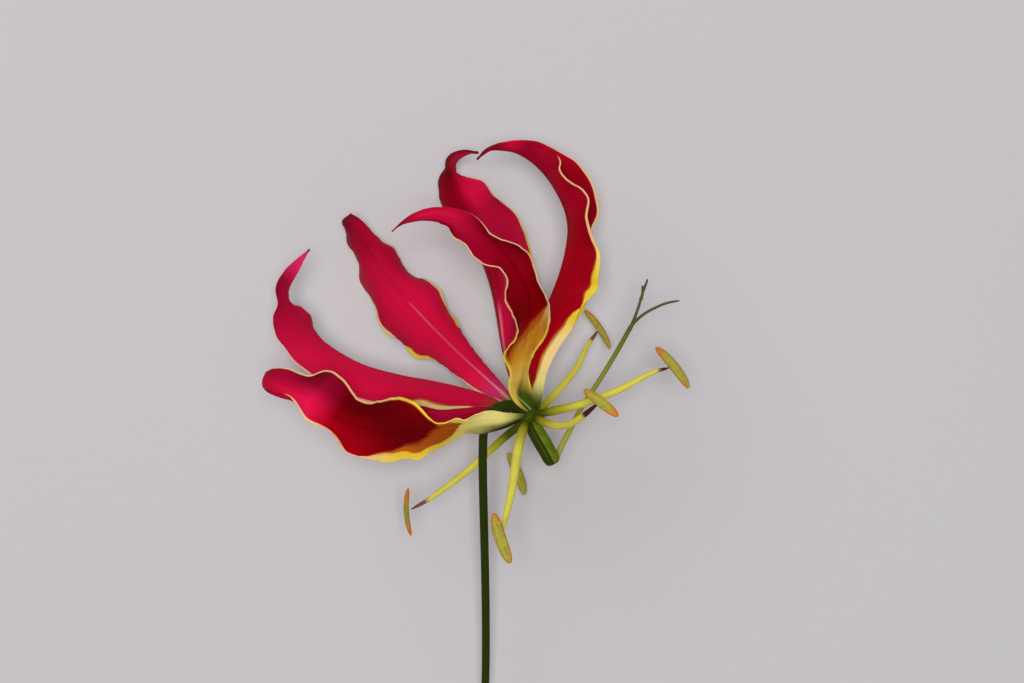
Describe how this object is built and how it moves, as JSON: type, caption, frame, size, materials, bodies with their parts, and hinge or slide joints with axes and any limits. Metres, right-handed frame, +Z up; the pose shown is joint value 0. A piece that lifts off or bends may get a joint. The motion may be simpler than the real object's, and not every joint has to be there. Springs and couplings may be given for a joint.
{
  "type": "flame lily bloom on a cut stem",
  "caption": "Flame lily bloom lying on its side on a cut stem: swept-back waved crimson tepals edged in yellow, spread stamens and a bent style.",
  "frame": {"origin": "bottom centre of the bounding box, on the floor", "axes": "+Z up from the floor; +Y along the long extent, from the cut end of the stem towards the tepal tips"},
  "size_m": [0.1002, 0.184, 0.0755],
  "materials": {
    "tepal": "crimson petal with a yellow base and waved yellow edge, satin",
    "filament": "smooth yellow-green stalk",
    "anther": "matt olive with an orange rim",
    "stem": "smooth dark green stalk, satin",
    "ovary": "smooth green, satin",
    "style": "smooth light green, satin"
  },
  "bodies": {
    "root": {"tepal_a": "tepal", "tepal_b": "tepal", "tepal_c": "tepal", "tepal_d": "tepal", "tepal_e": "tepal", "tepal_f": "tepal", "filament_1": "filament", "filament_2": "filament", "filament_3": "filament", "filament_4": "filament", "filament_5": "filament", "filament_6": "filament", "anther_1": "anther", "anther_2": "anther", "anther_3": "anther", "anther_4": "anther", "anther_5": "anther", "anther_6": "anther", "stem": "stem", "ovary": "ovary", "style": "style"}
  },
  "joints": []
}
